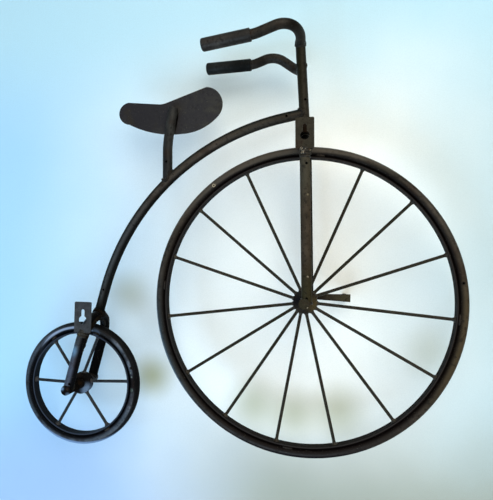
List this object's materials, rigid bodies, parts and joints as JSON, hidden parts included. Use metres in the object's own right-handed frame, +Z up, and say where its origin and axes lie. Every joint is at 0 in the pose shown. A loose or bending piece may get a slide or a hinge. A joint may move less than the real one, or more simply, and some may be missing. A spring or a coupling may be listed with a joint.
{
  "type": "penny farthing wall ornament",
  "caption": "Wall ornament shaped like a penny farthing, welded from bent steel tube, with wheels that turn on fixed axles and keyhole plates to hang it by.",
  "frame": {"origin": "centre of the round part of the front hanger plate's keyhole, on the face that lies against the wall", "axes": "+X ahead towards the big wheel, +Z up as it hangs, +Y from the wall into the room"},
  "size_m": [0.5787, 0.1145, 0.5407],
  "materials": {
    "frame_paint": "dark bronze-brown paint, mottled, rubbed through to bright steel at the welds",
    "wheel_paint": "dark bronze-brown paint, semi-gloss, worn at the drilled holes",
    "spoke_paint": "dark bronze-brown paint, thin",
    "saddle_paint": "dark bronze-brown paint on flat sheet",
    "hanger_paint": "dark bronze-brown paint, flatter and paler",
    "grip_paint": "dark bronze-brown paint",
    "axle_paint": "dark paint worn pale on the end faces"
  },
  "bodies": {
    "frame": {"steering_stem": "frame_paint", "backbone_tube": "frame_paint", "front_fork": "frame_paint", "rear_fork": "frame_paint", "front_axle": "axle_paint", "rear_axle": "axle_paint", "front_hanger_plate": "hanger_paint", "rear_hanger_plate": "hanger_paint", "handlebar_wall_side": "frame_paint", "handlebar_room_side": "frame_paint", "grip_wall_side": "grip_paint", "grip_room_side": "grip_paint", "seat_post": "frame_paint", "saddle_plate": "saddle_paint", "crank_bar": "frame_paint", "pedal_rod": "frame_paint"},
    "front_wheel": {"front_tyre_ring": "wheel_paint", "front_rim_band": "wheel_paint", "front_spokes": "spoke_paint", "front_hub": "wheel_paint"},
    "rear_wheel": {"rear_tyre_ring": "wheel_paint", "rear_rim_band": "wheel_paint", "rear_spokes": "spoke_paint", "rear_hub": "wheel_paint"}
  },
  "joints": [
    {"name": "front_wheel_spin", "type": "hinge", "parent": "frame", "child": "front_wheel", "pos_m": [-0.0014, 0.03801, -0.2009], "axis": [0, 1, 0], "continuous": true},
    {"name": "rear_wheel_spin", "type": "hinge", "parent": "frame", "child": "rear_wheel", "pos_m": [-0.30297, 0.04201, -0.31476], "axis": [0, 1, 0], "continuous": true}
  ]
}
